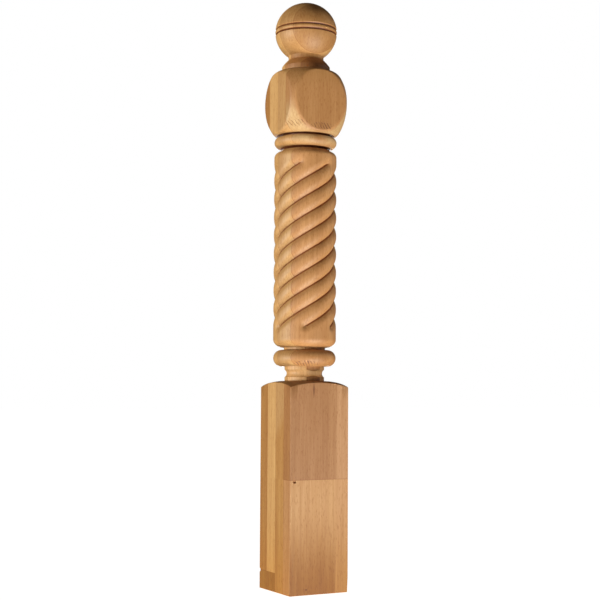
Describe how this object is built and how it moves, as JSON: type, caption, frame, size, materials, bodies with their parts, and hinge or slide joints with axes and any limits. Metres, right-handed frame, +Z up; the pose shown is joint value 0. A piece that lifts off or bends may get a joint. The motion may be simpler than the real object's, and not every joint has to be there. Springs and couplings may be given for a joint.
{
  "type": "newel post",
  "caption": "Turned and carved wooden newel post with a square foot block, a rope-twist shaft, a rail cube with flat sides and a ball top; it ends a stair rail.",
  "frame": {"origin": "middle of the square underside of the foot block", "axes": "+Z up the post's axis; X and Y square to the block's faces, with the face that shows widest in the picture towards -Y"},
  "size_m": [0.1334, 0.1334, 1.2192],
  "materials": {
    "beech": "bare steamed beech, glued up from boards, turned, carved and sanded"
  },
  "bodies": {
    "root": {"newel_post": "beech"}
  },
  "joints": []
}
